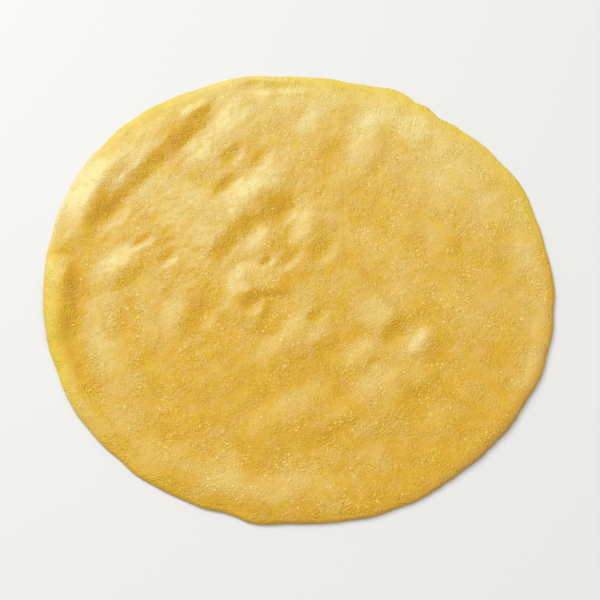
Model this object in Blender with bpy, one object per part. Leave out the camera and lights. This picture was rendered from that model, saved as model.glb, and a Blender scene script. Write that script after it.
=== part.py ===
"""A plain crepe, 24 cm across: one soft, thin, round sheet of cooked batter.

The crepe lies flat with its better side up. Its sheet is described by two
heights over the plan: how far its underside is lifted off the table, and how
thick the sheet is there. Folds and the rolls along its rim lift the sheet,
hollows thin it, and a rounded shoulder runs all the way round the edge.

Metres, +Z up. The origin is under the middle of the crepe, on the table.
"""

import math

import bmesh
import bpy

# Driving dimensions, in metres.
MM = 0.001
EDGE_RADIUS = 120.7 * MM
THICKNESS = 2.3 * MM
EDGE_THICKNESS = 1.0 * MM
SHOULDER_WIDTH = 5.0 * MM
EDGE_BULGE = 0.4 * MM
UNDERCUT_HEIGHT = 0.35 * MM
UNDERCUT_WIDTH = 2.5 * MM
THINNEST = 1.1 * MM

# Cells along one side of the square grid that is drawn out into the round.
GRID_CELLS = 46
# How much closer the rings stand at the rim than in the middle, from 0 to 1.
RIM_CROWDING = 0.6

# Where the edge stands out (+) or draws in (-) from a true circle:
# heading and half-spread in degrees, rise in millimetres.
EDGE_WAVES = (
    (8, 14, -1.1),
    (28, 7, 1.0),
    (52, 13, -2.2),
    (57, 4, 1.5),
    (66, 6, 1.7),
    (76, 6, -0.9),
    (86, 7, -0.7),
    (103, 9, 1.7),
    (133, 46, 4.5),
    (171, 6, -0.6),
    (192, 24, -1.0),
    (255, 5, -0.7),
    (263, 6, 1.3),
    (289, 14, 1.2),
    (335, 6, 0.8),
)

# Small ripples all round the edge: waves per turn, phase in degrees, height in millimetres.
EDGE_RIPPLES = (
    (17, 40, 0.22),
    (29, 110, 0.16),
    (41, 250, 0.12),
)

# Rolls that run along the rim: first and last heading in degrees, then how far the
# crest stands inside the edge, half-width and rise in millimetres.
RIM_ROLLS = (
    (140, 174, 12, 9, 1.8),
    (184, 230, 5, 6, 1.3),
    (228, 290, 12, 11, 1.4),
    (298, 372, 3, 6, 0.4),
)

# Straight ledges, where the sheet steps up to the left of a heading and sinks back
# further on: x and y of the foot's middle, half-length and width of the step in
# millimetres, heading in degrees, rise and how far out it sinks back, in millimetres.
LEDGES = (
    (-68, 63, 50, 10, 50, 2.4, 28),
    (-46, 89, 28, 9, 240, 1.0, 26),
    (-103, -11, 26, 8, 92, 3.0, 14),
    (-27, 20, 19, 11, 50, 2.1, 40),
    (-36, -4, 17, 8, 256, 1.3, 24),
    (-23, 24, 11, 7, 232, 1.15, 14),
    (-3, 31, 12, 9, 248, 1.3, 13),
    (-15, -11, 13, 5, 8, 1.3, 20),
    (-22, -13, 7, 6, 35, 1.0, 14),
    (-13, -21, 11, 6, 72, 1.2, 18),
    (-12, -27, 21, 10, 228, 1.5, 22),
    (7, -27, 9, 5, 222, 0.7, 10),
    (22, -35, 12, 10, 235, 1.4, 14),
    (47, -31, 10, 11, 40, 1.8, 34),
    (52, -31, 10, 7, 242, 1.8, 12),
    (24, -55, 25, 11, 218, 1.5, 20),
    (17, -81, 16, 9, 33, 1.0, 22),
    (59, -61, 14, 9, 35, 1.2, 24),
    (-16, -63, 21, 12, 216, 1.4, 22),
)

# Soft folds across the middle: centre x and y, half-length and half-width in
# millimetres, heading of the crest in degrees and rise in millimetres.
FOLDS = (
    (-19, 48, 23, 15, 47, 3.0),
    (-52, 98, 12, 5, 40, 1.0),
    (-82, 8, 22, 11, 44, 1.5),
    (-87, -14, 20, 12, 85, 0.8),
    (-54, -18, 20, 11, 76, 1.0),
    (35, 72, 18, 11, 70, 0.9),
    (42, 91, 18, 10, 68, 0.6),
    (8, 87, 14, 10, 75, 0.8),
    (69, 19, 13, 9, 72, 0.8),
    (66, -74, 20, 11, 42, 0.7),
)

# Shallow hollows pressed into the top: centre x and y, half-length and half-width in
# millimetres, heading in degrees and depth in millimetres.
HOLLOWS = (
    (-90, 36, 12, 8, 50, 1.0),
    (-56, 80, 10, 6, 50, 0.5),
    (-32, 71, 9, 6, 62, 0.9),
    (-18, 69, 10, 6, 62, 0.95),
    (-35, 53, 11, 5, 46, 0.85),
    (-15, 9, 5, 3, 40, 0.7),
    (-5, 10, 11, 5, 48, 0.9),
    (-6, 37, 10, 6, 52, 1.0),
    (-62, 12, 8, 5, 40, 0.8),
    (-74, 21, 9, 4, 40, 0.7),
    (-21, -15, 7, 5, 30, 0.9),
    (-44, -17, 13, 8, 68, 0.8),
    (9, -20, 7, 5, 45, 0.9),
    (19, 69, 16, 11, 75, 0.75),
    (29, 95, 10, 9, 75, 0.6),
    (67, 77, 10, 7, 75, 0.5),
    (12, 15, 11, 7, 60, 0.8),
    (34, -45, 4, 3, 50, 0.5),
    (46, -29, 9, 7, 50, 1.0),
    (100, 18, 22, 8, 80, 0.5),
    (-13, 113, 24, 5, 2, 0.9),
    (-22, 116, 7, 3, 5, 0.5),
)

CREPE_COLOUR = (0.74, 0.50, 0.105, 1.0)
CREPE_ROUGHNESS = 0.55


def swell(distance):
    """A smooth bump: 1 at distance 0, falling to 0 at distance 1 and beyond."""
    if distance >= 1.0:
        return 0.0
    return (1.0 - distance * distance) ** 2


def turn_between(first, second):
    """The smaller angle between two headings, in degrees."""
    return abs((first - second + 180.0) % 360.0 - 180.0)


def edge_radius(heading):
    """Distance from the middle to the edge at a heading in degrees."""
    radius = EDGE_RADIUS
    for centre, spread, rise in EDGE_WAVES:
        radius += rise * MM * swell(turn_between(heading, centre) / spread)
    for waves, phase, height in EDGE_RIPPLES:
        radius += height * MM * math.sin(math.radians(waves * heading + phase))
    return radius


def across(x, y, feature):
    """Scaled distance of a plan point from a fold or hollow, 1 at its rim."""
    centre_x, centre_y, half_length, half_width, heading, _ = feature
    cosine = math.cos(math.radians(heading))
    sine = math.sin(math.radians(heading))
    east = x / MM - centre_x
    north = y / MM - centre_y
    along = (east * cosine + north * sine) / half_length
    sideways = (north * cosine - east * sine) / half_width
    return math.hypot(along, sideways)


def rim_lift(heading, inset):
    """Lift given by the rim rolls at a heading and a distance inside the edge."""
    lift = 0.0
    for first, last, crest_inset, half_width, rise in RIM_ROLLS:
        middle = 0.5 * (first + last)
        spread = 0.5 * (last - first)
        run = swell((turn_between(heading, middle) / spread) ** 2)
        lift += rise * MM * run * swell(abs(inset / MM - crest_inset) / half_width)
    return lift


def ease(amount):
    """Climb smoothly from 0 to 1 as an amount goes from 0 to 1."""
    amount = min(max(amount, 0.0), 1.0)
    return amount * amount * (3.0 - 2.0 * amount)


def ledge_lift(x, y, ledge):
    """Lift given by one ledge at a plan point."""
    foot_x, foot_y, half_length, width, heading, rise, reach = ledge
    cosine = math.cos(math.radians(heading))
    sine = math.sin(math.radians(heading))
    east = x / MM - foot_x
    north = y / MM - foot_y
    along = (east * cosine + north * sine) / half_length
    sideways = north * cosine - east * sine
    profile = ease(sideways / width) - ease((sideways - width) / reach)
    return rise * MM * profile * swell(along * along)


def sheet_lift(x, y, heading, inset):
    """Height of the underside above the table."""
    lift = rim_lift(heading, inset)
    for ledge in LEDGES:
        lift += ledge_lift(x, y, ledge)
    for fold in FOLDS:
        lift += fold[-1] * MM * swell(across(x, y, fold))
    under_edge = max(0.0, 1.0 - inset / UNDERCUT_WIDTH)
    return lift + UNDERCUT_HEIGHT * under_edge * under_edge


def sheet_thickness(x, y, inset):
    """Thickness of the sheet, with its hollows and its rounded shoulder."""
    thickness = THICKNESS
    for hollow in HOLLOWS:
        thickness -= hollow[-1] * MM * swell(across(x, y, hollow))
    thickness = max(thickness, THINNEST)
    out = max(0.0, 1.0 - inset / SHOULDER_WIDTH)
    rounding = math.sqrt(1.0 - out * out)
    return EDGE_THICKNESS + (thickness - EDGE_THICKNESS) * rounding


def square_to_polar(u, v):
    """Draw a point of the square from -1 to 1 out into the round.

    Each ring of the square becomes a ring of the disc. Returns the heading in
    degrees and the fraction of the way from the middle to the edge.
    """
    ring = max(abs(u), abs(v))
    if ring == 0.0:
        return 0.0, 0.0
    if abs(u) >= abs(v):
        heading = 45.0 * v / u + (0.0 if u > 0 else 180.0)
    else:
        heading = 90.0 - 45.0 * u / v + (0.0 if v > 0 else 180.0)
    fraction = ring + RIM_CROWDING * ring ** 3 * (1.0 - ring)
    return heading, fraction


def plan_middle():
    """Middle of the outline's box, so that the crepe can be centred on the origin."""
    outline = [(edge_radius(turn), math.radians(turn)) for turn in range(360)]
    xs = [radius * math.cos(angle) for radius, angle in outline]
    ys = [radius * math.sin(angle) for radius, angle in outline]
    return 0.5 * (min(xs) + max(xs)), 0.5 * (min(ys) + max(ys))


def sheet_point(u, v):
    """Plan position, lift and thickness of the sheet at a point of the square."""
    heading, fraction = square_to_polar(u, v)
    edge = edge_radius(heading)
    radius = edge * fraction
    inset = edge - radius
    x = radius * math.cos(math.radians(heading))
    y = radius * math.sin(math.radians(heading))
    return x, y, sheet_lift(x, y, heading, inset), sheet_thickness(x, y, inset)


def build_crepe_mesh():
    """Draw the grid out into the crepe's underside and top and close the edge."""
    mesh = bpy.data.meshes.new("crepe")
    shape = bmesh.new()
    bmesh.ops.create_grid(shape, x_segments=GRID_CELLS, y_segments=GRID_CELLS, size=1.0)
    sheet = {vertex: sheet_point(vertex.co.x, vertex.co.y) for vertex in shape.verts}
    underside = list(shape.faces)
    copied = bmesh.ops.duplicate(shape, geom=shape.verts[:] + shape.edges[:] + underside)
    twins = copied["vert_map"]
    middle_x, middle_y = plan_middle()
    for vertex, (x, y, lift, thickness) in sheet.items():
        vertex.co = (x - middle_x, y - middle_y, lift)
        twins[vertex].co = (x - middle_x, y - middle_y, lift + thickness)
    bmesh.ops.reverse_faces(shape, faces=underside)

    rims = [edge for edge in shape.edges if edge.is_boundary]
    band = bmesh.ops.bridge_loops(shape, edges=rims)
    uprights = [edge for edge in band["edges"] if not edge.is_boundary]
    halved = bmesh.ops.subdivide_edges(shape, edges=uprights, cuts=1)
    for vertex in {item for item in halved["geom_inner"] if isinstance(item, bmesh.types.BMVert)}:
        reach = math.hypot(vertex.co.x, vertex.co.y)
        vertex.co.x *= 1.0 + EDGE_BULGE / reach
        vertex.co.y *= 1.0 + EDGE_BULGE / reach

    bmesh.ops.triangulate(shape, faces=shape.faces[:])
    bmesh.ops.recalc_face_normals(shape, faces=shape.faces[:])
    shape.to_mesh(mesh)
    shape.free()
    mesh.shade_smooth()
    return mesh


def crepe_material():
    """Warm yellow cooked batter with a soft, barely moist surface."""
    material = bpy.data.materials.new("crepe")
    material.use_nodes = True
    shader = material.node_tree.nodes["Principled BSDF"]
    shader.inputs["Base Color"].default_value = CREPE_COLOUR
    shader.inputs["Roughness"].default_value = CREPE_ROUGHNESS
    shader.inputs["Metallic"].default_value = 0.0
    return material


def main():
    """Clear the scene and make the crepe."""
    for old in list(bpy.data.objects):
        bpy.data.objects.remove(old)
    mesh = build_crepe_mesh()
    mesh.materials.append(crepe_material())
    crepe = bpy.data.objects.new("crepe", mesh)
    bpy.context.scene.collection.objects.link(crepe)


main()
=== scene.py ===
"""The looks of a plain crepe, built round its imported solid.

The crepe is one soft sheet of cooked batter. Its form repeats the solid's: the same
uneven outline, rim rolls, folds and hollows, then finer swells, pits and beads of
batter that the solid leaves out. Metres, +Z up, with the crepe's origin under its
middle on the table.
"""

from __future__ import annotations

import logging
import math
from dataclasses import dataclass
from enum import Enum

import bpy
import numpy as np
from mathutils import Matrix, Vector, noise


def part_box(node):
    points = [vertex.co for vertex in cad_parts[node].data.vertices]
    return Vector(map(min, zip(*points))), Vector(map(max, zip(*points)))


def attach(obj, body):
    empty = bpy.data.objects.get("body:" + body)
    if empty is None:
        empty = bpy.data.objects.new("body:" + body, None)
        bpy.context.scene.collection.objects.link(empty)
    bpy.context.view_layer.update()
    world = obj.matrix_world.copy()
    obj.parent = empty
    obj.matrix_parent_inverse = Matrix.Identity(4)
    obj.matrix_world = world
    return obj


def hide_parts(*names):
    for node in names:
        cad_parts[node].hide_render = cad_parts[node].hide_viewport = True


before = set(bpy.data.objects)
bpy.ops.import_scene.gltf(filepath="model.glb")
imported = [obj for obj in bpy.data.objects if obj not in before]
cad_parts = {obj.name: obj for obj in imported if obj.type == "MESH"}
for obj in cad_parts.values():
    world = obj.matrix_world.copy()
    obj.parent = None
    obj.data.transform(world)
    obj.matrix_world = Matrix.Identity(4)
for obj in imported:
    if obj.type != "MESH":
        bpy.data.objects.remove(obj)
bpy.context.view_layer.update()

MM = 0.001
FULL_TURN = 360.0
HALF_TURN = 180.0
NOISE_MEAN = 0.5

Array = np.ndarray
Colour = tuple[float, float, float, float]
Arc = tuple[float, float, float]
Face = tuple[int, ...]
Socket = bpy.types.NodeSocket

log = logging.getLogger("crepe")


class Finish(Enum):
    """The finishes used on the crepe and round it."""

    SHEET = "cooked_batter"
    BEAD = "batter_bead"
    FLOOR = "pale_table"


class Light(Enum):
    """The lamps of the studio."""

    KEY = "window_key"
    FILL = "overhead_fill"


# --------------------------------------------------------------------------- form


@dataclass(frozen=True)
class EdgeWave:
    """A stretch where the edge stands out (+) from a circle or draws in (-).

    heading and spread are in degrees, rise in millimetres.
    """

    heading: float
    spread: float
    rise: float


@dataclass(frozen=True)
class EdgeRipple:
    """A small ripple all round the edge: waves per turn, phase in degrees, height in mm."""

    waves: int
    phase: float
    height: float


@dataclass(frozen=True)
class RimRoll:
    """A roll along the rim, from one heading to another in degrees.

    inset is how far its crest stands inside the edge; it, half_width and rise are in mm.
    """

    first: float
    last: float
    inset: float
    half_width: float
    rise: float


@dataclass(frozen=True)
class Ledge:
    """A straight step up to the left of a heading, which sinks back further on.

    x and y are the middle of its foot; they and the sizes are in mm, the heading in degrees.
    """

    x: float
    y: float
    half_length: float
    width: float
    heading: float
    rise: float
    reach: float


@dataclass(frozen=True)
class Dent:
    """A long soft fold, hollow or patch: middle and half sizes in mm, heading in degrees.

    rise is its height or depth in mm, or how much paler a patch is.
    """

    x: float
    y: float
    half_length: float
    half_width: float
    heading: float
    rise: float


@dataclass(frozen=True)
class Swell:
    """One layer of uneven surface.

    size is the distance between swells and height their reach, both in mm; stretch is how
    much longer they run along the crepe's grain than across it; seed picks the pattern.
    """

    size: float
    height: float
    stretch: float
    seed: float


def each(kind: type, *rows: tuple[float, ...]) -> tuple:
    """Make one thing of a kind from each row of its sizes."""
    return tuple(kind(*row) for row in rows)


EDGE_WAVES = each(
    EdgeWave,
    (8, 14, -1.1),
    (28, 7, 1.0),
    (52, 13, -2.2),
    (57, 4, 1.5),
    (66, 6, 1.7),
    (76, 6, -0.9),
    (86, 7, -0.7),
    (103, 9, 1.7),
    (133, 46, 4.5),
    (171, 6, -0.6),
    (192, 24, -1.0),
    (255, 5, -0.7),
    (263, 6, 1.3),
    (289, 14, 1.2),
    (335, 6, 0.8),
)

EDGE_RIPPLES = each(EdgeRipple, (17, 40, 0.22), (29, 110, 0.16), (41, 250, 0.12))

RIM_ROLLS = each(
    RimRoll,
    (140, 174, 12, 9, 1.8),
    (184, 230, 5, 6, 1.3),
    (228, 290, 12, 11, 1.4),
    (298, 372, 3, 6, 0.4),
)

LEDGES = each(
    Ledge,
    (-68, 63, 50, 10, 50, 2.4, 28),
    (-46, 89, 28, 9, 240, 1.0, 26),
    (-103, -11, 26, 8, 92, 3.0, 14),
    (-27, 20, 19, 11, 50, 2.1, 40),
    (-36, -4, 17, 8, 256, 1.3, 24),
    (-23, 24, 11, 7, 232, 1.15, 14),
    (-3, 31, 12, 9, 248, 1.3, 13),
    (-15, -11, 13, 5, 8, 1.3, 20),
    (-22, -13, 7, 6, 35, 1.0, 14),
    (-13, -21, 11, 6, 72, 1.2, 18),
    (-12, -27, 21, 10, 228, 1.5, 22),
    (7, -27, 9, 5, 222, 0.7, 10),
    (22, -35, 12, 10, 235, 1.4, 14),
    (47, -31, 10, 11, 40, 1.8, 34),
    (52, -31, 10, 7, 242, 1.8, 12),
    (24, -55, 25, 11, 218, 1.5, 20),
    (17, -81, 16, 9, 33, 1.0, 22),
    (59, -61, 14, 9, 35, 1.2, 24),
    (-16, -63, 21, 12, 216, 1.4, 22),
)

FOLDS = each(
    Dent,
    (-19, 48, 23, 15, 47, 3.0),
    (-52, 98, 12, 5, 40, 1.0),
    (-82, 8, 22, 11, 44, 1.5),
    (-87, -14, 20, 12, 85, 0.8),
    (-54, -18, 20, 11, 76, 1.0),
    (35, 72, 18, 11, 70, 0.9),
    (42, 91, 18, 10, 68, 0.6),
    (8, 87, 14, 10, 75, 0.8),
    (69, 19, 13, 9, 72, 0.8),
    (66, -74, 20, 11, 42, 0.7),
)

HOLLOWS = each(
    Dent,
    (-90, 36, 12, 8, 50, 1.0),
    (-56, 80, 10, 6, 50, 0.5),
    (-32, 71, 9, 6, 62, 0.9),
    (-18, 69, 10, 6, 62, 0.95),
    (-35, 53, 11, 5, 46, 0.85),
    (-15, 9, 5, 3, 40, 0.7),
    (-5, 10, 11, 5, 48, 0.9),
    (-6, 37, 10, 6, 52, 1.0),
    (-62, 12, 8, 5, 40, 0.8),
    (-74, 21, 9, 4, 40, 0.7),
    (-21, -15, 7, 5, 30, 0.9),
    (-44, -17, 13, 8, 68, 0.8),
    (9, -20, 7, 5, 45, 0.9),
    (19, 69, 16, 11, 75, 0.75),
    (29, 95, 10, 9, 75, 0.6),
    (67, 77, 10, 7, 75, 0.5),
    (12, 15, 11, 7, 60, 0.8),
    (34, -45, 4, 3, 50, 0.5),
    (46, -29, 9, 7, 50, 1.0),
    (100, 18, 22, 8, 80, 0.5),
    (-13, 113, 24, 5, 2, 0.9),
    (-22, 116, 7, 3, 5, 0.5),
)


def cos_sin(angle: float) -> tuple[float, float]:
    """Cosine and sine of an angle in degrees."""
    return math.cos(math.radians(angle)), math.sin(math.radians(angle))


def bump_shape(distance: Array) -> Array:
    """A smooth bump: 1 at distance 0, falling to 0 at distance 1 and beyond."""
    return np.clip(1.0 - distance**2, 0.0, None) ** 2


def turn_between(first: Array, second: float) -> Array:
    """The smaller angle between headings and one heading, in degrees."""
    return np.abs((first - second + HALF_TURN) % FULL_TURN - HALF_TURN)


def arc_mask(heading: Array, centre: float, spread: float) -> Array:
    """How much a heading lies in an arc: 1 at its centre, 0 past its spread, in degrees."""
    return bump_shape(turn_between(heading, centre) / spread)


def arc_sum(heading: Array, arcs: tuple[Arc, ...]) -> Array:
    """Sum of arcs at headings; each arc is its centre and spread in degrees and its amount."""
    return sum(amount * arc_mask(heading, centre, spread) for centre, spread, amount in arcs)


def run_of(x: Array, y: Array, feature: Dent | Ledge) -> tuple[Array, Array]:
    """Distances from a feature's middle, along its heading and to the left of it.

    Args:
        x: Plan positions along X, in metres.
        y: Plan positions along Y, in metres.
        feature: The fold, hollow, patch or ledge to measure from.

    Returns:
        The distance along and the distance to the left, both in millimetres.
    """
    cosine, sine = cos_sin(feature.heading)
    east = x / MM - feature.x
    north = y / MM - feature.y
    return east * cosine + north * sine, north * cosine - east * sine


def dent_depth(x: Array, y: Array, dents: tuple[Dent, ...]) -> Array:
    """Sum of the dents at plan points.

    Args:
        x: Plan positions along X, in metres.
        y: Plan positions along Y, in metres.
        dents: The folds, hollows or patches to add up.

    Returns:
        The height of their sum, in metres.
    """
    total = np.zeros_like(x)
    for dent in dents:
        along, left = run_of(x, y, dent)
        distance = np.hypot(along / dent.half_length, left / dent.half_width)
        total += dent.rise * MM * bump_shape(distance)
    return total


def ease(amount: Array) -> Array:
    """Climb smoothly from 0 to 1 as an amount goes from 0 to 1."""
    amount = np.clip(amount, 0.0, 1.0)
    return amount * amount * (3.0 - 2.0 * amount)


def ledge_lift(x: Array, y: Array, ledges: tuple[Ledge, ...]) -> Array:
    """Sum of the ledges at plan points.

    Args:
        x: Plan positions along X, in metres.
        y: Plan positions along Y, in metres.
        ledges: The ledges to add up.

    Returns:
        The height of their sum, in metres.
    """
    total = np.zeros_like(x)
    for ledge in ledges:
        along, left = run_of(x, y, ledge)
        share = along / ledge.half_length
        profile = ease(left / ledge.width) - ease((left - ledge.width) / ledge.reach)
        total += ledge.rise * MM * profile * bump_shape(share * share)
    return total


def perlin(points: Array) -> Array:
    """Perlin noise, about -1 to 1, at an array of points with three columns."""
    return np.array([noise.noise(Vector(point)) for point in points])


@dataclass
class CrepeForm:
    """The crepe's shape as heights over its plan, fitted to the solid's box.

    Lengths are in metres and headings in degrees anticlockwise from +X. Swells stand at
    lively_share of their height round lively_middle and at calm_share far from it.
    """

    edge_radius: float = 120.7 * MM
    thickness: float = 2.3 * MM
    edge_thickness: float = 1.0 * MM
    shoulder_width: float = 5.0 * MM
    edge_bulge: float = 0.4 * MM
    undercut_height: float = 0.35 * MM
    undercut_width: float = 2.5 * MM
    thinnest: float = 1.1 * MM
    swell_margin: float = 5.0 * MM
    grain_heading: float = 52.0
    swells: tuple[Swell, ...] = (
        Swell(17.0, 0.26, 1.9, 3.1),
        Swell(7.5, 0.20, 1.5, 11.7),
        Swell(3.2, 0.12, 1.0, 23.9),
        Swell(1.9, 0.06, 1.0, 41.3),
    )
    lively_middle: tuple[float, float] = (-32.0 * MM, 24.0 * MM)
    lively_reach: float = 75.0 * MM
    lively_share: float = 1.25
    calm_share: float = 0.45
    ragged_size: float = 2.6 * MM
    ragged_seed: float = 3.7
    ragged_broadening: float = 3.1
    ragged_broad_share: float = 0.8
    ragged_arcs: tuple[Arc, ...] = (
        (125.0, 34.0, 0.45 * MM),
        (55.0, 40.0, 0.40 * MM),
        (310.0, 70.0, 0.22 * MM),
        (200.0, 70.0, 0.12 * MM),
    )
    outline_steps: int = 2880

    def __post_init__(self) -> None:
        """Work out the outline once and fit it to the solid's box."""
        low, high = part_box("crepe")
        turns = np.arange(self.outline_steps) * FULL_TURN / self.outline_steps
        self.turns = turns
        self.radii = self._plain_radius(turns) + self._raggedness(turns)
        angle = np.radians(turns)
        reach = self._plain_radius(turns) + self.edge_bulge
        xs = reach * np.cos(angle)
        ys = reach * np.sin(angle)
        self.middle = (0.5 * (xs.min() + xs.max()), 0.5 * (ys.min() + ys.max()))
        self.scale = 0.5 * ((high.x - low.x) / np.ptp(xs) + (high.y - low.y) / np.ptp(ys))
        self.centre = (0.5 * (low.x + high.x), 0.5 * (low.y + high.y))

    def _plain_radius(self, heading: Array) -> Array:
        """Distance from the middle to the smooth edge.

        Args:
            heading: Headings in degrees.

        Returns:
            The distance at each heading.
        """
        radius = np.full_like(heading, self.edge_radius)
        for wave in EDGE_WAVES:
            radius += wave.rise * MM * arc_mask(heading, wave.heading, wave.spread)
        for ripple in EDGE_RIPPLES:
            radius += ripple.height * MM * np.sin(np.radians(ripple.waves * heading + ripple.phase))
        return radius

    def _raggedness(self, heading: Array) -> Array:
        """Small tears and crumbs of the edge, stronger on some stretches.

        Args:
            heading: Headings in degrees.

        Returns:
            How much further out (+) or in (-) the edge stands at each heading.
        """
        angle = np.radians(heading)
        reach = self.edge_radius / self.ragged_size
        level = np.full_like(heading, self.ragged_seed)
        points = np.stack([reach * np.cos(angle), reach * np.sin(angle), level], axis=1)
        broad = perlin(points / self.ragged_broadening)
        crumbs = perlin(points) + self.ragged_broad_share * broad
        return arc_sum(heading, self.ragged_arcs) * crumbs

    def edge_at(self, heading: Array) -> Array:
        """Distance from the middle to the ragged edge."""
        return np.interp(heading, self.turns, self.radii, period=FULL_TURN)

    def place(self, x: Array, y: Array) -> tuple[Array, Array]:
        """Turn plan positions of the form into positions in the solid's frame.

        Args:
            x: Plan positions along X.
            y: Plan positions along Y.

        Returns:
            The positions along X and along Y.
        """
        return (
            (x - self.middle[0]) * self.scale + self.centre[0],
            (y - self.middle[1]) * self.scale + self.centre[1],
        )

    def rim_lift(self, heading: Array, inset: Array) -> Array:
        """Lift given by the rim rolls.

        Args:
            heading: Heading of each point, in degrees.
            inset: Distance of each point inside the edge.

        Returns:
            The lift at each point.
        """
        lift = np.zeros_like(heading)
        for roll in RIM_ROLLS:
            middle = 0.5 * (roll.first + roll.last)
            spread = 0.5 * (roll.last - roll.first)
            run = bump_shape((turn_between(heading, middle) / spread) ** 2)
            lift += roll.rise * MM * run * bump_shape((inset / MM - roll.inset) / roll.half_width)
        return lift

    def lift(self, x: Array, y: Array, heading: Array, inset: Array) -> Array:
        """Height of the underside above the table.

        Args:
            x: Plan positions along X.
            y: Plan positions along Y.
            heading: Heading of each point, in degrees.
            inset: Distance of each point inside the edge.

        Returns:
            The height at each point.
        """
        under_edge = np.clip(1.0 - inset / self.undercut_width, 0.0, None)
        folds = ledge_lift(x, y, LEDGES) + dent_depth(x, y, FOLDS)
        return self.rim_lift(heading, inset) + folds + self.undercut_height * under_edge**2

    def thickness_at(self, x: Array, y: Array, inset: Array) -> Array:
        """Thickness of the sheet, with its hollows and its rounded shoulder.

        Args:
            x: Plan positions along X.
            y: Plan positions along Y.
            inset: Distance of each point inside the edge.

        Returns:
            The thickness at each point.
        """
        thickness = np.maximum(self.thickness - dent_depth(x, y, HOLLOWS), self.thinnest)
        out = np.clip(1.0 - inset / self.shoulder_width, 0.0, 1.0)
        rounding = np.sqrt(1.0 - out * out)
        return self.edge_thickness + (thickness - self.edge_thickness) * rounding

    def swell_height(self, x: Array, y: Array, inset: Array, swells: tuple[Swell, ...]) -> Array:
        """Height of the finer uneven surface, fading out at the edge.

        Args:
            x: Plan positions along X.
            y: Plan positions along Y.
            inset: Distance of each point inside the edge.
            swells: The layers to add up.

        Returns:
            The height to add, in metres.
        """
        cosine, sine = cos_sin(self.grain_heading)
        along = (x * cosine + y * sine) / MM
        sideways = (y * cosine - x * sine) / MM
        total = np.zeros_like(x)
        for swell in swells:
            level = np.full_like(x, swell.seed)
            run = along / (swell.size * swell.stretch)
            points = np.stack([run, sideways / swell.size, level], axis=1)
            total += swell.height * MM * perlin(points)
        away = np.hypot(x - self.lively_middle[0], y - self.lively_middle[1]) / self.lively_reach
        lively = self.calm_share + (self.lively_share - self.calm_share) * np.exp(-away * away)
        return total * lively * np.clip(inset / self.swell_margin, 0.0, 1.0)

    def plan_of(self, x: Array, y: Array) -> tuple[Array, Array]:
        """Heading and distance inside the edge of plan points."""
        heading = np.degrees(np.arctan2(y, x)) % FULL_TURN
        return heading, self.edge_at(heading) - np.hypot(x, y)

    def top_height(self, x: Array, y: Array) -> Array:
        """Height of the top surface above the table.

        Args:
            x: Plan positions along X.
            y: Plan positions along Y.

        Returns:
            The height at each point.
        """
        heading, inset = self.plan_of(x, y)
        sheet = self.lift(x, y, heading, inset) + self.thickness_at(x, y, inset)
        return sheet + self.swell_height(x, y, inset, self.swells)


def square_to_polar(u: Array, v: Array, crowding: float) -> tuple[Array, Array]:
    """Draw points of the square from -1 to 1 out into the round.

    Args:
        u: Positions along the square's first side.
        v: Positions along its second side.
        crowding: How much closer the rings stand at the rim, from 0 to 1.

    Returns:
        The heading in degrees and the fraction of the way to the edge.
    """
    ring = np.maximum(np.abs(u), np.abs(v))
    safe_u = np.where(u == 0.0, 1.0, u)
    safe_v = np.where(v == 0.0, 1.0, v)
    side = 45.0 * v / safe_u + np.where(u > 0, 0.0, HALF_TURN)
    end = 90.0 - 45.0 * u / safe_v + np.where(v > 0, 0.0, HALF_TURN)
    heading = np.where(np.abs(u) >= np.abs(v), side, end) % FULL_TURN
    fraction = ring + crowding * ring**3 * (1.0 - ring)
    return heading, fraction


# ----------------------------------------------------------------------- materials


@dataclass(frozen=True)
class Grade:
    """One layer of noise: feature size in mm, detail, roughness and how much it counts."""

    size: float
    detail: float
    roughness: float = 0.5
    weight: float = 1.0


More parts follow.
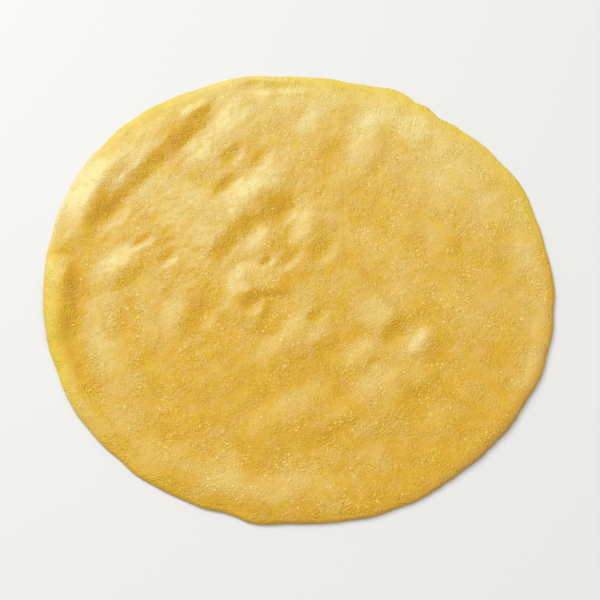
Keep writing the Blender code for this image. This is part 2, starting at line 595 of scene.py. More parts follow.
class Tree:
    """Adds and links the nodes of one node tree."""

    def __init__(self, tree: bpy.types.NodeTree) -> None:
        """Work on a tree."""
        self.tree = tree

    def add(self, kind: str, **settings: object) -> bpy.types.Node:
        """Add a node.

        Args:
            kind: The node's type.
            settings: Its properties, each name with its value.

        Returns:
            The new node.
        """
        node = self.tree.nodes.new(kind)
        for name, value in settings.items():
            setattr(node, name, value)
        return node

    def link(self, source: Socket, target: Socket) -> None:
        """Link one socket to another."""
        self.tree.links.new(source, target)

    def feed(self, target: Socket, value: object) -> None:
        """Link a socket to a target, or set the target's own value.

        Args:
            target: The input to feed.
            value: The socket to link to it, or the value to set.
        """
        if isinstance(value, Socket):
            self.link(value, target)
        else:
            target.default_value = value

    def feed_all(self, node: bpy.types.Node, values: dict[str, object]) -> None:
        """Feed several of a node's inputs, each named with its value."""
        for name, value in values.items():
            self.feed(node.inputs[name], value)

    def math(self, operation: str, *values: object, clamp: bool = False) -> Socket:
        """Add a Math node.

        Args:
            operation: What it does.
            values: The sockets or values that it takes.
            clamp: Whether its result is kept from 0 to 1.

        Returns:
            Its result.
        """
        node = self.add("ShaderNodeMath", operation=operation, use_clamp=clamp)
        for socket, value in zip(node.inputs, values):
            self.feed(socket, value)
        return node.outputs["Value"]

    def mix(self, amount: object, first: object, second: object, clamp: bool = True) -> Socket:
        """Mix two colours.

        Args:
            amount: How much of the second colour shows.
            first: The colour at an amount of 0.
            second: The colour at an amount of 1.
            clamp: Whether an amount over 1 stops at the second colour.

        Returns:
            The mixed colour.
        """
        node = self.add("ShaderNodeMix", data_type="RGBA", clamp_factor=clamp)
        colours = [socket for socket in node.inputs if socket.type == "RGBA"]
        self.feed(node.inputs["Factor"], amount)
        self.feed(colours[0], first)
        self.feed(colours[1], second)
        return next(socket for socket in node.outputs if socket.type == "RGBA")

    def ramp(self, value: object, bounds: tuple[float, float]) -> Socket:
        """Raise a value smoothly from 0 to 1 between two bounds.

        Args:
            value: The value to map.
            bounds: Where the result leaves 0 and where it reaches 1.

        Returns:
            The result, from 0 to 1.
        """
        node = self.add("ShaderNodeMapRange", interpolation_type="SMOOTHSTEP")
        self.feed_all(node, {"Value": value, "From Min": bounds[0], "From Max": bounds[1]})
        return node.outputs["Result"]

    def place(self) -> Socket:
        """The place of a point on its object."""
        return self.add("ShaderNodeTexCoord").outputs["Object"]

    def noise(self, where: Socket, grade: Grade) -> Socket:
        """Noise of a grade.

        Args:
            where: The place to read it at.
            grade: Its feature size, detail and roughness.

        Returns:
            The noise, about 0 to 1.
        """
        node = self.add("ShaderNodeTexNoise", noise_dimensions="3D")
        self.feed_all(node, {"Vector": where, "Scale": 1.0 / (grade.size * MM)})
        self.feed_all(node, {"Detail": grade.detail, "Roughness": grade.roughness})
        return node.outputs["Fac"]

    def uneven(self, where: Socket, grade: Grade) -> Socket:
        """Noise of a grade, above and below 0."""
        return self.math("SUBTRACT", self.noise(where, grade), NOISE_MEAN)

    def cells(self, where: Socket, size: float) -> bpy.types.Node:
        """Scattered cells.

        Args:
            where: The place to read them at.
            size: Their distance from each other, in millimetres.

        Returns:
            The node, which gives each cell's colour and the distance from its middle.
        """
        node = self.add("ShaderNodeTexVoronoi", feature="F1")
        self.feed_all(node, {"Vector": where, "Scale": 1.0 / (size * MM)})
        return node

    def attribute(self, name: str) -> Socket:
        """Read a value kept on the mesh."""
        return self.add("ShaderNodeAttribute", attribute_name=name).outputs["Fac"]


def new_group(
    name: str, takes: dict[str, str], gives: dict[str, str]
) -> tuple[Tree, bpy.types.Node, bpy.types.Node]:
    """Make a shader node group.

    Args:
        name: The group's name.
        takes: Its inputs, each name with its socket type.
        gives: Its outputs, each name with its socket type.

    Returns:
        The group's tree, its input node and its output node.
    """
    group = bpy.data.node_groups.new(name, "ShaderNodeTree")
    for label, kind in takes.items():
        group.interface.new_socket(name=label, in_out="INPUT", socket_type=kind)
    for label, kind in gives.items():
        group.interface.new_socket(name=label, in_out="OUTPUT", socket_type=kind)
    tree = Tree(group)
    return tree, tree.add("NodeGroupInput"), tree.add("NodeGroupOutput")


@dataclass(frozen=True)
class ToneRecipe:
    """How the batter's tones are mixed; bounds are where a tone starts and is full."""

    pallor_grades: tuple[Grade, ...] = (
        Grade(30.0, 2.0, weight=1.0),
        Grade(5.5, 3.0, 0.6, weight=0.44),
        Grade(1.3, 2.0, 0.7, weight=0.62),
    )
    deep_bounds: tuple[float, float] = (0.05, 0.65)
    palest: float = 1.3
    tint_grades: tuple[tuple[str, Grade], ...] = (
        ("Blush", Grade(10.0, 3.0, 0.6, weight=0.36)),
        ("Lemon", Grade(8.0, 3.0, 0.6, weight=0.45)),
    )
    tint_bounds: tuple[float, float] = (0.50, 0.68)


@dataclass(frozen=True)
class GrainRecipe:
    """The sizes of the fine skin in millimetres, and where it is thick and thin."""

    pebble_size: float = 1.1
    cover_grade: Grade = Grade(9.0, 3.0)
    cover_bounds: tuple[float, float] = (0.36, 0.56)
    dust_grade: Grade = Grade(0.8, 3.0, 0.65)
    freckle_spacing: float = 2.8
    freckle_choice: tuple[float, float] = (0.54, 0.64)
    freckle_bounds: tuple[float, float] = (0.05, 0.22)


class BatterEffects:
    """The node groups that the finishes share."""

    def __init__(self) -> None:
        """Build both groups."""
        self.tone = self._tone_group(ToneRecipe())
        self.grain = self._grain_group(GrainRecipe())

    @staticmethod
    def _tone_group(recipe: ToneRecipe) -> bpy.types.NodeTree:
        """Uneven colour of cooked batter: patches, mottles, fine flecks and deeper stretches.

        Args:
            recipe: How the tones are mixed.

        Returns:
            The group, which takes the tones and a pallor and gives a colour.
        """
        colour = "NodeSocketColor"
        takes = {name: colour for name in ("Golden", "Cream", "Deep", "Blush", "Lemon")}
        takes["Pallor"] = "NodeSocketFloat"
        tree, given, made = new_group("batter_tone", takes, {"Color": colour})
        where = tree.place()
        pallor = given.outputs["Pallor"]
        for grade in recipe.pallor_grades:
            pallor = tree.math("MULTIPLY_ADD", tree.uneven(where, grade), grade.weight, pallor)
        # The given pallor carries painted light and shade; the deep tone where it falls below 0 is
        # partly painted shade.
        deep = tree.ramp(tree.math("MULTIPLY", pallor, -1.0), recipe.deep_bounds)
        pallor = tree.math("MINIMUM", tree.math("MAXIMUM", pallor, 0.0), recipe.palest)
        tone = tree.mix(pallor, given.outputs["Golden"], given.outputs["Cream"], clamp=False)
        tone = tree.mix(deep, tone, given.outputs["Deep"])
        for name, grade in recipe.tint_grades:
            spread = tree.ramp(tree.noise(where, grade), recipe.tint_bounds)
            amount = tree.math("MULTIPLY", spread, grade.weight)
            tone = tree.mix(amount, tone, given.outputs[name])
        tree.link(tone, made.inputs["Color"])
        return tree.tree

    @staticmethod
    def _grain_group(recipe: GrainRecipe) -> bpy.types.NodeTree:
        """Fine skin of cooked batter: pebbles and dust as a height, and small freckles.

        Args:
            recipe: The sizes of the skin.

        Returns:
            The group, which gives a height of about 0 to 1 and a mask of freckles.
        """
        value = "NodeSocketFloat"
        tree, given, made = new_group(
            "batter_grain", {"Pebbles": value, "Dust": value}, {"Height": value, "Freckles": value}
        )
        where = tree.place()
        cells = tree.cells(where, recipe.pebble_size)
        dome = tree.math("SUBTRACT", 1.0, cells.outputs["Distance"], clamp=True)
        cover = tree.ramp(tree.noise(where, recipe.cover_grade), recipe.cover_bounds)
        covered = tree.math("MULTIPLY", dome, cover)
        pebbles = tree.math("MULTIPLY", covered, given.outputs["Pebbles"])
        specks = tree.noise(where, recipe.dust_grade)
        dust = tree.math("MULTIPLY", specks, given.outputs["Dust"])
        tree.link(tree.math("ADD", pebbles, dust), made.inputs["Height"])
        freckles = tree.cells(where, recipe.freckle_spacing)
        pick = tree.add("ShaderNodeSeparateColor")
        tree.link(freckles.outputs["Color"], pick.inputs["Color"])
        chosen = tree.ramp(pick.outputs["Red"], recipe.freckle_choice)
        outside = tree.ramp(freckles.outputs["Distance"], recipe.freckle_bounds)
        spot = tree.math("SUBTRACT", 1.0, outside)
        tree.link(tree.math("MULTIPLY", spot, chosen), made.inputs["Freckles"])
        return tree.tree


@dataclass(frozen=True)
class BatterFinish:
    """Cooked batter: its tones, gloss and skin.

    pallor is its mean, from 0 for golden to 1 for cream; grain_pallor is how much paler a
    full height of grain is than none, so grain crests are paler and pits deeper golden, partly
    the grain's tone and partly painted shade in the pits; grain_mean is the height that
    changes nothing.
    """

    name: str
    golden: Colour = (0.735, 0.41, 0.010, 1.0)
    cream: Colour = (0.873, 0.695, 0.272, 1.0)
    deep: Colour = (0.70, 0.355, 0.012, 1.0)
    blush: Colour = (0.80, 0.485, 0.14, 1.0)
    lemon: Colour = (0.77, 0.50, 0.02, 1.0)
    rim_lemon: Colour = (0.855, 0.665, 0.055, 1.0)
    toast_and_shade_brown: Colour = (0.62, 0.34, 0.07, 1.0)
    pallor: float = 0.205
    roughness: float = 0.46
    damp_grade: Grade = Grade(7.0, 3.0, weight=0.16)
    subsurface: float = 0.06
    subsurface_reach: tuple[float, float, float] = (1.0, 0.6, 0.22)
    subsurface_scale: float = 1.2 * MM
    specular: float = 0.35
    coat: float = 0.06
    coat_roughness: float = 0.32
    pebbles: float = 0.64
    dust: float = 0.6
    grain_height: float = 0.82 * MM
    grain_pallor: float = 0.14
    grain_mean: float = 0.55
    freckle: float = 0.44

    def material(self, effects: BatterEffects) -> bpy.types.Material:
        """Make the material.

        Args:
            effects: The shared node groups.

        Returns:
            The new material.
        """
        material = bpy.data.materials.new(self.name)
        material.use_nodes = True
        tree = Tree(material.node_tree)
        shader = material.node_tree.nodes["Principled BSDF"]
        tree.link(self._colour(tree, effects), shader.inputs["Base Color"])
        tree.link(self._roughness(tree), shader.inputs["Roughness"])
        tree.link(self._normal(tree, effects), shader.inputs["Normal"])
        values = {
            "Subsurface Weight": self.subsurface,
            "Subsurface Radius": self.subsurface_reach,
            "Subsurface Scale": self.subsurface_scale,
            "Specular IOR Level": self.specular,
            "Coat Weight": self.coat,
            "Coat Roughness": self.coat_roughness,
        }
        tree.feed_all(shader, values)
        return material

    def _colour(self, tree: Tree, effects: BatterEffects) -> Socket:
        """Base colour: batter tones, freckles, the lemon rim and the browned edge; the tones and
        the edge carry painted light and shade.

        Args:
            tree: The material's tree.
            effects: The shared node groups.

        Returns:
            The colour.
        """
        grain = self._grain(tree, effects)
        # Grain crests painted paler and pits deeper golden: partly the grain's tone, partly painted
        # shade in the pits.
        raised = tree.math("SUBTRACT", grain.outputs["Height"], self.grain_mean)
        # The kept pallor carries painted light and shade as well as the batter's tone.
        pallor = tree.math("ADD", tree.attribute("pallor"), self.pallor)
        tones = {
            "Golden": self.golden,
            "Cream": self.cream,
            "Deep": self.deep,
            "Blush": self.blush,
            "Lemon": self.lemon,
            "Pallor": tree.math("MULTIPLY_ADD", raised, self.grain_pallor, pallor),
        }
        tone = tree.add("ShaderNodeGroup", node_tree=effects.tone)
        tree.feed_all(tone, tones)
        freckles = tree.math("MULTIPLY", grain.outputs["Freckles"], self.freckle)
        batter = tree.mix(freckles, tone.outputs["Color"], self.toast_and_shade_brown)
        rim = tree.mix(tree.attribute("lemon"), batter, self.rim_lemon)
        # Browned edge: partly a cooked brown rim, partly painted shade on the edge that faces away
        # from the light.
        return tree.mix(tree.attribute("toast_and_shade"), rim, self.toast_and_shade_brown)

    def _roughness(self, tree: Tree) -> Socket:
        """Roughness: damper and drier patches."""
        damp = tree.uneven(tree.place(), self.damp_grade)
        return tree.math("MULTIPLY_ADD", damp, self.damp_grade.weight, self.roughness)

    def _grain(self, tree: Tree, effects: BatterEffects) -> bpy.types.Node:
        """The fine skin.

        Args:
            tree: The material's tree.
            effects: The shared node groups.

        Returns:
            The node that gives its height and its freckles.
        """
        grain = tree.add("ShaderNodeGroup", node_tree=effects.grain)
        tree.feed_all(grain, {"Pebbles": self.pebbles, "Dust": self.dust})
        return grain

    def _normal(self, tree: Tree, effects: BatterEffects) -> Socket:
        """Normal bent by the fine skin.

        Args:
            tree: The material's tree.
            effects: The shared node groups.

        Returns:
            The normal.
        """
        bump = tree.add("ShaderNodeBump")
        height = self._grain(tree, effects).outputs["Height"]
        tree.feed_all(bump, {"Distance": self.grain_height, "Height": height})
        return bump.outputs["Normal"]


@dataclass(frozen=True)
class FloorFinish:
    """A plain pale table top."""

    colour: Colour = (0.80, 0.80, 0.79, 1.0)
    roughness: float = 0.6

    def material(self) -> bpy.types.Material:
        """Make the material.

        Returns:
            The new material.
        """
        material = bpy.data.materials.new(Finish.FLOOR.value)
        material.use_nodes = True
        shader = material.node_tree.nodes["Principled BSDF"]
        shader.inputs["Base Color"].default_value = self.colour
        shader.inputs["Roughness"].default_value = self.roughness
        return material


# -------------------------------------------------------------------------- pieces


def make_piece(name: str, vertices: Array, faces: list[Face]) -> bpy.types.Object:
    """Make a smooth mesh object.

    Args:
        name: The object's name.
        vertices: Positions, one row each.
        faces: Vertex numbers of each face, anticlockwise from outside.

    Returns:
        The new object, linked to the scene.
    """
    mesh = bpy.data.meshes.new(name)
    mesh.from_pydata(vertices.tolist(), [], faces)
    mesh.shade_smooth()
    piece = bpy.data.objects.new(name, mesh)
    bpy.context.scene.collection.objects.link(piece)
    return piece


def keep_value(piece: bpy.types.Object, name: str, values: Array) -> None:
    """Keep one value for each vertex on a mesh, for its material to read."""
    layer = piece.data.attributes.new(name, "FLOAT", "POINT")
    layer.data.foreach_set("value", values.astype(np.float32))


@dataclass
class CrepeTints:
    """Where the batter is paler, lemon yellow or browned, and where light and shade are painted on
    it.

    Pallor falls by shade_falloff_drop towards shade_falloff_heading: painted shade, darker on the
    side away from the light. It rises with the ridges, so the hollows are deeper golden: partly
    the batter's tone, partly painted shade in the hollows. It changes with the slope as
    painted light: flanks that face flank_heading, towards the light, are painted paler and
    flanks that face away are painted deeper, the more so on that side of the crepe
    (flank_fade). Each row of patches is a Dent whose rise is how much paler its place is;
    the patches are partly the batter's tone, partly painted highlights on lit walls and
    rims and painted shade in troughs. The arcs round the rim are centre, spread and amount,
    and fade over their width inside the edge; the lemon yellow goes no further than
    lemon_limit. The browned edge is partly a cooked brown rim, partly painted shade on the
    edge that faces away from the light.
    """

    # Painted shade: pallor falls towards this heading, on the side away from the light.
    shade_falloff_heading: float = 284.0
    shade_falloff_drop: float = 0.31
    ridge_gain: float = 0.15
    ridge_height: float = 1.2 * MM
    # Painted light: flanks that face this heading, towards the light, are painted paler, and flanks
    # that face away are painted deeper.
    ridge_bounds: tuple[float, float] = (-1.0, 2.0)
    flank_heading: float = 138.0
    flank_step: float = 0.8 * MM
    flank_gain: float = 1.8
    flank_fade: float = 0.8
    flank_limit: float = 0.33
    rim_width: float = 13.0 * MM
    rim_arcs: tuple[Arc, ...] = (
        (163.0, 20.0, 0.20),
        (133.0, 26.0, -0.60),
        (106.0, 22.0, 0.14),
        (66.0, 60.0, 0.24),
        (190.0, 26.0, -0.95),
        (342.0, 34.0, 0.12),
        (14.0, 16.0, 0.14),
        (255.0, 22.0, 0.10),
        (284.0, 16.0, 0.10),
    )
    lemon_width: float = 6.0 * MM
    lemon_limit: float = 0.66
    lemon_arcs: tuple[Arc, ...] = (
        (128.0, 28.0, 1.00),
        (192.0, 34.0, 0.95),
        (78.0, 42.0, 1.20),
        (34.0, 40.0, 0.60),
        (226.0, 50.0, 0.12),
    )
    # Patches: partly the batter's tone, partly painted highlights on lit walls and rims and painted
    # shade in troughs.
    patches: tuple[Dent, ...] = each(
        Dent,
        (0, 101, 78, 22, 0, 0.24),
        (75, 63, 40, 20, 128, 0.42),
        (108, -32, 34, 13, 75, 0.32),
        (108, 12, 18, 9, 85, 0.32),
        (-90, -36, 28, 14, 98, 0.44),
        (-70, -30, 10, 8, 60, 0.14),
        (-68, -72, 12, 9, 140, 0.14),
        (-88, 13, 19, 11, 60, 0.24),
        (-50, 10, 8, 7, 50, 0.20),
        (-110, 31, 8, 6, 80, -0.35),
        (-30, 92, 16, 12, 60, 0.16),
        (-50, 70, 13, 9, 50, 0.40),
        (-72, 52, 14, 9, 50, 0.28),
        (-50, 30, 10, 8, 50, -0.26),
        (-91, 53, 12, 8, 55, 0.50),
        (-74, 66, 18, 8, 50, 0.14),
        (-66, 75, 8, 8, 50, 0.28),
        (-85, 53, 8, 8, 50, 0.24),
        (-55, 88, 13, 7, 50, 0.22),
        (-36, 56, 7, 5, 50, 0.18),
        (-90, 30, 8, 6, 50, 0.14),
        (-10, 65, 15, 12, 50, 0.26),
        (-25, 34, 9, 5, 45, 0.18),
        (-12, 29, 10, 8, 50, -0.16),
        (-32, 28, 8, 6, 45, -0.16),
        (10, 30, 9, 8, 50, -0.16),
        (-9, 52, 10, 7, 50, 0.58),
        (10, 50, 9, 8, 50, -0.14),
        (50, 50, 11, 9, 50, -0.14),
        (-9, 10, 8, 7, 50, 0.50),
        (10, -10, 9, 8, 50, -0.12),
        (-34, -9, 14, 10, 20, -0.26),
        (-26, -11, 9, 7, 40, -0.28),
        (-50, -9, 9, 8, 60, -0.14),
        (-10, -30, 10, 8, 40, -0.12),
        (30, -30, 10, 8, 40, -0.12),
        (-46, -18, 10, 6, 68, -0.15),
        (8, -19, 6, 5, 45, -0.20),
        (44, -30, 9, 7, 45, -0.14),
        (32, -50, 14, 9, 40, 0.42),
        (12, -94, 60, 14, 0, 0.22),
        (-10, -111, 12, 6, 0, 0.26),
        (-30, -90, 10, 8, 0, 0.20),
        (30, -90, 10, 8, 0, 0.10),
        (21, -91, 9, 7, 0, 0.14),
        (-32, -103, 28, 9, -16, 0.24),
        (-66, 86, 16, 9, 45, -0.32),
        (-33, 71, 8, 6, 60, -0.15),
        (18, -68, 30, 13, 20, -0.22),
        (72, -72, 16, 11, 40, -0.16),
        (24, -10, 26, 13, 20, -0.30),
        (-106, -11, 22, 8, 88, -0.95),
        (-111, 22, 22, 8, 82, -0.50),
        (72, -8, 14, 11, 60, 0.24),
        (-82, -52, 18, 13, 120, 0.16),
        (-72, 33, 14, 9, 50, 0.22),
        (31, 86, 20, 9, 70, 0.36),
        (70, 12, 10, 9, 60, 0.14),
        (70, -48, 10, 9, 60, 0.10),
        (55, -32, 9, 5, 50, 0.46),
        (91, 40, 18, 10, 70, 0.26),
        (30, 34, 16, 10, 40, -0.12),
        (50, 30, 9, 8, 50, 0.12),
        (-107, 54, 22, 13, 66, 0.82),
        (58, 90, 22, 14, 145, 0.42),
    )
    # Browned edge: partly a cooked brown rim, partly painted shade on the edge that faces away from
    # the light.
    toast_and_shade_width: float = 2.4 * MM
    toast_and_shade_arcs: tuple[Arc, ...] = (
        (318.0, 28.0, 0.85),
        (342.0, 20.0, 0.35),
        (286.0, 40.0, 0.25),
    )

    def pallor(self, form: CrepeForm, x: Array, y: Array, height: Array) -> Array:
        """How pale the batter is away from the rim, above or below its mean, with painted light and
        shade: paler on lit flanks, deeper on shaded ones and darker away from the light.

        Args:
            form: The crepe's form.
            x: Plan positions along X.
            y: Plan positions along Y.
            height: Height of the sheet's top at each point.

        Returns:
            The pallor of each point.
        """
        # Painted shade: the batter is painted darker towards one heading, on the side away from the
        # light.
        cosine, sine = cos_sin(self.shade_falloff_heading)
        cooked = self.shade_falloff_drop * (x * cosine + y * sine) / form.edge_radius
        # Ridges paler and hollows deeper golden: partly the batter's tone, partly painted shade in
        # the hollows.
        raised = np.clip((height - form.thickness) / self.ridge_height, *self.ridge_bounds)
        # Painted light: flanks that face the light are painted paler, flanks that face away are
        # painted deeper.
        cosine, sine = cos_sin(self.flank_heading)
        step_x, step_y = self.flank_step * cosine, self.flank_step * sine
        drop = form.top_height(x - step_x, y - step_y) - form.top_height(x + step_x, y + step_y)
        slope = np.clip(drop / (2.0 * self.flank_step), -self.flank_limit, self.flank_limit)
        towards = (x * cosine + y * sine) / form.edge_radius
        flanks = self.flank_gain * (1.0 + self.flank_fade * towards) * slope
        # The patches add partly the batter's tone, partly painted highlights and painted shade.
        return self.ridge_gain * raised + flanks - cooked + dent_depth(x, y, self.patches) / MM

    def rim_pallor(self, heading: Array, inset: Array) -> Array:
        """How much paler or deeper the batter is towards the rim."""
        share = np.clip(inset, 0.0, None) / self.rim_width
        return arc_sum(heading, self.rim_arcs) * np.exp(-(share**2))

    def lemon(self, heading: Array, inset: Array) -> Array:
        """How lemon yellow the thin rim is."""
        share = np.clip(inset, 0.0, None) / self.lemon_width
        return np.clip(arc_sum(heading, self.lemon_arcs) * np.exp(-share), 0.0, self.lemon_limit)

    def toast_and_shade(self, heading: Array, inset: Array) -> Array:
        """How brown the edge is: partly a cooked brown rim, partly painted shade on the edge that
        faces away from the light.
        """
        share = np.clip(inset, 0.0, None) / self.toast_and_shade_width
        return np.clip(arc_sum(heading, self.toast_and_shade_arcs) * np.exp(-(share**2)), 0.0, 1.0)

    def apply(self, piece: bpy.types.Object, form: CrepeForm, plan: Array, height: Array) -> None:
        """Keep the tints on a piece.

        Args:
            piece: The piece to tint.
            form: The crepe's form.
            plan: Plan position of each vertex, in two columns.
            height: Height of the sheet's top at each vertex.
        """
        heading, inset = form.plan_of(plan[:, 0], plan[:, 1])
        pallor = self.pallor(form, plan[:, 0], plan[:, 1], height) + self.rim_pallor(heading, inset)
        keep_value(piece, "pallor", pallor)
        keep_value(piece, "lemon", self.lemon(heading, inset))
        keep_value(piece, "toast_and_shade", self.toast_and_shade(heading, inset))


@dataclass
class CrepeSheet:
    """The crepe itself: top, rounded edge and underside in one closed mesh."""

    form: CrepeForm
    tints: CrepeTints
    cells: int = 268
    crowding: float = 0.45
    edge_rings: int = 3
    pit_depth: float = 0.12 * MM
    pit_swells: tuple[Swell, ...] = (Swell(6.5, 1.0, 1.3, 57.0), Swell(2.2, 0.6, 1.0, 63.0))

    def _plan(self, cells: int) -> tuple[Array, Array, Array, Array]:
        """Lay out the plan of a grid that fills the outline.

        Args:
            cells: The number of cells along each side.

        Returns:
            X, Y, heading and distance inside the edge of each point.
        """
        side = np.linspace(-1.0, 1.0, cells + 1)
        u, v = (axis.ravel() for axis in np.meshgrid(side, side))
        heading, fraction = square_to_polar(u, v, self.crowding)
        edge = self.form.edge_at(heading)
        radius = edge * fraction
        angle = np.radians(heading)
        return radius * np.cos(angle), radius * np.sin(angle), heading, edge - radius

    @staticmethod
    def _cells_of(cells: int, start: int, upward: bool) -> list[Face]:
        """List the faces of a grid.

        Args:
            cells: The number of cells along each side.
            start: The number of its first vertex.
            upward: Whether its faces look up.

        Returns:
            The faces.
        """
        row = cells + 1
        i, j = (axis.ravel() for axis in np.meshgrid(np.arange(cells), np.arange(cells)))
        corner = start + j * row + i
        quads = np.stack([corner, corner + 1, corner + row + 1, corner + row], axis=1)
        return [tuple(quad) for quad in (quads if upward else quads[:, ::-1]).tolist()]

    @staticmethod
    def _border_of(cells: int, start: int) -> Array:
        """List the vertices round a grid's border, anticlockwise.

        Args:
            cells: The number of cells along each side.
            start: The number of its first vertex.

        Returns:
            The vertex numbers.
        """
        row = cells + 1
        step = np.arange(cells)
        near = step
        right = step * row + cells
        far = cells * row + cells - step
        left = (cells - step) * row
        return start + np.concatenate([near, right, far, left])

    def _pits(self, x: Array, y: Array, inset: Array) -> Array:
        """Shallow pits in the underside."""
        depth = self.form.swell_height(x, y, inset, self.pit_swells) / MM
        return self.pit_depth * np.clip(depth, 0.0, 1.0)

    def build(self) -> bpy.types.Object:
        """Build the sheet's mesh.

        Returns:
            The crepe's object, with its tints kept on it.
        """
        form = self.form
        x, y, heading, inset = self._plan(self.cells)
        lift = form.lift(x, y, heading, inset)
        thickness = form.thickness_at(x, y, inset)
        top = lift + thickness + form.swell_height(x, y, inset, form.swells)
        border = self._border_of(self.cells, 0)

        under_cells = self.cells // 2
        under_x, under_y, under_heading, under_inset = self._plan(under_cells)
        under = form.lift(under_x, under_y, under_heading, under_inset)
        under += self._pits(under_x, under_y, under_inset)

        xs, ys, zs = [x, under_x], [y, under_y], [top, under]
        tint_height = [top, under + form.thickness]
        rings = [border]
        first = len(x) + len(under_x)
        for ring in range(1, self.edge_rings + 1):
            down = ring / (self.edge_rings + 1)
            bulge = form.edge_bulge * math.sin(math.pi * down)
            reach = np.hypot(x[border], y[border])
            xs.append(x[border] * (1.0 + bulge / reach))
            ys.append(y[border] * (1.0 + bulge / reach))
            zs.append(top[border] + (lift[border] - top[border]) * down)
            tint_height.append(top[border])
            rings.append(first + (ring - 1) * len(border) + np.arange(len(border)))

        faces = self._cells_of(self.cells, 0, upward=True)
        faces += self._cells_of(under_cells, len(x), upward=False)
        for upper, lower in zip(rings, rings[1:]):
            quads = np.stack([lower, np.roll(lower, -1), np.roll(upper, -1), upper], axis=1)
            faces += [tuple(quad) for quad in quads.tolist()]
        faces += self._stitches(rings[-1], self._border_of(under_cells, len(x)))

        plan = np.stack([np.concatenate(xs), np.concatenate(ys)], axis=1)
        placed = form.place(plan[:, 0], plan[:, 1])
        vertices = np.stack([*placed, np.concatenate(zs)], axis=1)
        piece = make_piece("crepe_sheet", vertices, faces)
        self.tints.apply(piece, form, plan, np.concatenate(tint_height))
        return piece

    @staticmethod
    def _stitches(fine: Array, coarse: Array) -> list[Face]:
        """Join a ring to a lower ring with half as many points.

        Args:
            fine: Vertex numbers of the upper ring.
            coarse: Vertex numbers of the lower ring.

        Returns:
            The faces between them.
        """
        start = fine[0::2]
        between = fine[1::2]
        end = np.roll(start, -1)
        after = np.roll(coarse, -1)
        triangles = np.concatenate(
            [
                np.stack([coarse, between, start], axis=1),
                np.stack([coarse, after, between], axis=1),
                np.stack([after, end, between], axis=1),
            ]
        )
        return [tuple(triangle) for triangle in triangles.tolist()]


@dataclass
class BatterBeads:
    """Small raised beads scattered unevenly over the top, each a closed low dome.

    levels are a bead's rings from its foot up: reach and height as shares of its radius
    and of its own height. Beads crowd together where the noise of two cluster sizes is
    high, and most of them are small.
    """

    form: CrepeForm
    tints: CrepeTints
    name: str
    count: int
    seed: int
    sides: int
    smallest: float
    largest: float
    levels: tuple[tuple[float, float], ...]
    slimness: float = 0.50
    margin: float = 2.5 * MM
    sink: float = 0.05 * MM
    tries_each: int = 6
    cluster_size: float = 7.0
    cluster_broadening: float = 2.6
    cluster_seeds: tuple[float, float] = (5.3, 14.3)
    cluster_floor: float = 0.06
    cluster_mean: float = 0.35
    cluster_gain: float = 0.9
    smallness: float = 2.6
    squash_bounds: tuple[float, float] = (0.75, 1.25)

    def _places(self, draw: np.random.Generator) -> Array:
        """Scatter the beads, closer together in clusters.

        Args:
            draw: The source of random numbers.

        Returns:
            Plan position of each bead, in two columns.
        """
        tries = self.count * self.tries_each
        radius = (self.form.edge_radius - self.margin) * np.sqrt(draw.random(tries))
        angle = draw.random(tries) * math.tau
        points = np.stack([radius * np.cos(angle), radius * np.sin(angle)], axis=1)
        size = MM * self.cluster_size
        wide_level, close_level = (np.full((tries, 1), seed) for seed in self.cluster_seeds)
        wide = perlin(np.hstack([points / (size * self.cluster_broadening), wide_level]))
        close = perlin(np.hstack([points / size, close_level]))
        crowd = self.cluster_mean + self.cluster_gain * wide + self.cluster_gain * close
        chance = self.cluster_floor + np.clip(crowd, 0.0, 1.0)
        kept = points[draw.random(tries) < chance]
        return kept[: self.count]

    def build(self) -> bpy.types.Object:
        """Build all the beads as one mesh.

        Returns:
            The beads' object, with its tints kept on it.
        """
        draw = np.random.default_rng(self.seed)
        places = self._places(draw)
        spread = draw.random(len(places)) ** self.smallness
        size = self.smallest + (self.largest - self.smallest) * spread
        turn = draw.random(len(places)) * math.tau
        squash = draw.uniform(*self.squash_bounds, len(places))
        tall = size * self.slimness
        angles = turn[:, None] + np.arange(self.sides) * math.tau / self.sides
        xs, ys, rises = [], [], []
        for reach, height in self.levels:
            xs.append(places[:, :1] + size[:, None] * reach * np.cos(angles) * squash[:, None])
            ys.append(places[:, 1:] + size[:, None] * reach * np.sin(angles) / squash[:, None])
            rises.append(np.broadcast_to((height * tall - self.sink)[:, None], angles.shape))
        xs.append(places[:, :1])
        ys.append(places[:, 1:])
        rises.append((tall - self.sink)[:, None])
        x = np.hstack(xs).ravel()
        y = np.hstack(ys).ravel()
        ground = self.form.top_height(x, y)
        placed = self.form.place(x, y)
        vertices = np.stack([*placed, ground + np.hstack(rises).ravel()], axis=1)
        piece = make_piece(self.name, vertices, self._faces(len(places)))
        self.tints.apply(piece, self.form, np.stack([x, y], axis=1), ground)
        return piece

    def _faces(self, beads: int) -> list[Face]:
        """List every bead's faces: a flat bottom, bands from ring to ring and a cap.

        Args:
            beads: The number of beads.

        Returns:
            The faces.
        """
        sides = self.sides
        rings = len(self.levels)
        step = rings * sides + 1
        one: list[Face] = [tuple(reversed(range(sides)))]
        for low in range(0, (rings - 1) * sides, sides):
            for side in range(sides):
                after = (side + 1) % sides
                one.append((low + side, low + after, low + sides + after, low + sides + side))
        low = (rings - 1) * sides
        one += [(low + side, low + (side + 1) % sides, step - 1) for side in range(sides)]
        firsts = range(0, beads * step, step)
        return [tuple(first + corner for corner in face) for first in firsts for face in one]


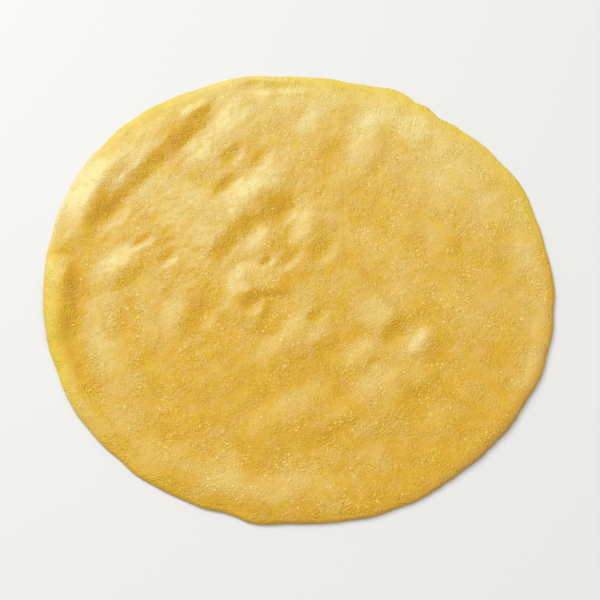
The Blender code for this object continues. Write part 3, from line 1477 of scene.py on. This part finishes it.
@dataclass
class Crepe:
    """The whole crepe: its sheet and its beads, shaped and dressed."""

    effects: BatterEffects

    def __post_init__(self) -> None:
        """Settle the form and the tints that all the pieces share."""
        self.form = CrepeForm()
        self.tints = CrepeTints()

    def build(self) -> list[bpy.types.Object]:
        """Build the pieces, dress them and hand them to the frame.

        Returns:
            The crepe's pieces.
        """
        sheet = CrepeSheet(self.form, self.tints).build()
        sheet.data.materials.append(BatterFinish(Finish.SHEET.value).material(self.effects))
        bead_material = self._bead_finish().material(self.effects)
        scatters = [self._beads().build(), self._grains().build()]
        for scatter in scatters:
            scatter.data.materials.append(bead_material)
        for piece in (sheet, *scatters):
            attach(piece, "root")
        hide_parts("crepe")
        return [sheet, *scatters]

    def _beads(self) -> BatterBeads:
        """The larger beads, few and far between.

        Returns:
            Their builder.
        """
        return BatterBeads(
            self.form,
            self.tints,
            name="batter_beads",
            count=2000,
            seed=17,
            sides=7,
            smallest=0.34 * MM,
            largest=0.74 * MM,
            levels=((1.0, 0.0), (0.86, 0.45), (0.5, 0.87)),
        )

    def _grains(self) -> BatterBeads:
        """The fine grains that make the skin sandy.

        Returns:
            Their builder.
        """
        return BatterBeads(
            self.form,
            self.tints,
            name="batter_grains",
            count=9500,
            seed=29,
            sides=5,
            smallest=0.28 * MM,
            largest=0.52 * MM,
            levels=((1.0, 0.0), (0.6, 0.8)),
        )

    @staticmethod
    def _bead_finish() -> BatterFinish:
        """Paler, glossier batter for the beads; the paler colour is partly painted highlight.

        Returns:
            Their finish.
        """
        return BatterFinish(
            Finish.BEAD.value,
            # Paler tones: partly painted highlight on the beads.
            golden=(0.92, 0.59, 0.07, 1.0),
            cream=(0.96, 0.76, 0.27, 1.0),
            deep=(0.92, 0.55, 0.07, 1.0),
            pallor=0.50,
            roughness=0.30,
            coat=0.35,
            coat_roughness=0.2,
            grain_height=0.05 * MM,
        )


# -------------------------------------------------------------------------- studio


@dataclass(frozen=True)
class Studio:
    """Pale table, soft light and the camera."""

    floor_half: float = 3.0
    floor_drop: float = 0.1 * MM
    aim: tuple[float, float, float] = (0.6 * MM, -10.1 * MM, 0.0)
    elevation: float = 61.0
    distance: float = 0.667
    lens: float = 85.0
    sensor: float = 36.0
    clip: tuple[float, float] = (0.01, 20.0)
    key_heading: float = 130.0
    key_elevation: float = 40.0
    key_distance: float = 2.2
    key_size: float = 0.9
    key_power: float = 25.8
    key_colour: tuple[float, float, float] = (1.0, 0.985, 0.95)
    fill_height: float = 1.4
    fill_size: float = 1.6
    fill_power: float = 8.1
    world_colour: Colour = (1.0, 1.0, 1.0, 1.0)
    world_strength: float = 0.452

    def floor(self) -> bpy.types.Object:
        """Lay the table top.

        Returns:
            The table top's object.
        """
        half = self.floor_half
        corners = np.array([(-half, -half), (half, -half), (half, half), (-half, half)])
        vertices = np.hstack([corners, np.full((4, 1), -self.floor_drop)])
        table = make_piece("table_top", vertices, [(0, 1, 2, 3)])
        table.data.materials.append(FloorFinish().material())
        return table

    def _lamp(self, light: Light, size: float, power: float, place: Vector) -> bpy.types.Object:
        """Hang one soft square lamp that faces the origin.

        Args:
            light: Which lamp it is.
            size: Its side.
            power: Its power in watts.
            place: Where it hangs.

        Returns:
            The lamp's object.
        """
        data = bpy.data.lights.new(light.value, "AREA")
        data.shape = "SQUARE"
        data.size = size
        data.energy = power
        lamp = bpy.data.objects.new(light.value, data)
        lamp.location = place
        lamp.rotation_mode = "QUATERNION"
        lamp.rotation_quaternion = (Vector() - place).to_track_quat("-Z", "Y")
        bpy.context.scene.collection.objects.link(lamp)
        return lamp

    def lights(self) -> None:
        """Light the table from the far left, with a soft fill from above."""
        east, north = cos_sin(self.key_heading)
        level, rise = cos_sin(self.key_elevation)
        way = Vector((east * level, north * level, rise))
        key = self._lamp(Light.KEY, self.key_size, self.key_power, way * self.key_distance)
        key.data.color = self.key_colour
        above = Vector((0.0, 0.0, self.fill_height))
        self._lamp(Light.FILL, self.fill_size, self.fill_power, above)
        world = bpy.data.worlds.new("studio")
        world.use_nodes = True
        sky = world.node_tree.nodes["Background"]
        sky.inputs["Color"].default_value = self.world_colour
        sky.inputs["Strength"].default_value = self.world_strength
        bpy.context.scene.world = world

    def camera(self) -> None:
        """Set the camera on its line of sight."""
        level, rise = cos_sin(self.elevation)
        back = Vector((0.0, -level, rise))
        data = bpy.data.cameras.new("camera")
        data.lens = self.lens
        data.sensor_width = self.sensor
        data.clip_start, data.clip_end = self.clip
        camera = bpy.data.objects.new("camera", data)
        camera.location = Vector(self.aim) + back * self.distance
        camera.rotation_mode = "QUATERNION"
        camera.rotation_quaternion = (-back).to_track_quat("-Z", "Y")
        bpy.context.scene.collection.objects.link(camera)
        bpy.context.scene.camera = camera

    def build(self) -> None:
        """Set up the whole studio."""
        self.camera()
        self.floor()
        self.lights()
        bpy.context.scene.view_settings.view_transform = "Standard"


def main() -> None:
    """Set up the studio, build the crepe and report its pieces."""
    logging.basicConfig(level=logging.INFO, format="%(name)s: %(message)s")
    Studio().build()
    for piece in Crepe(BatterEffects()).build():
        mesh = piece.data
        log.info("%s: %d vertices, %d faces", piece.name, len(mesh.vertices), len(mesh.polygons))


if __name__ == "__main__":
    main()
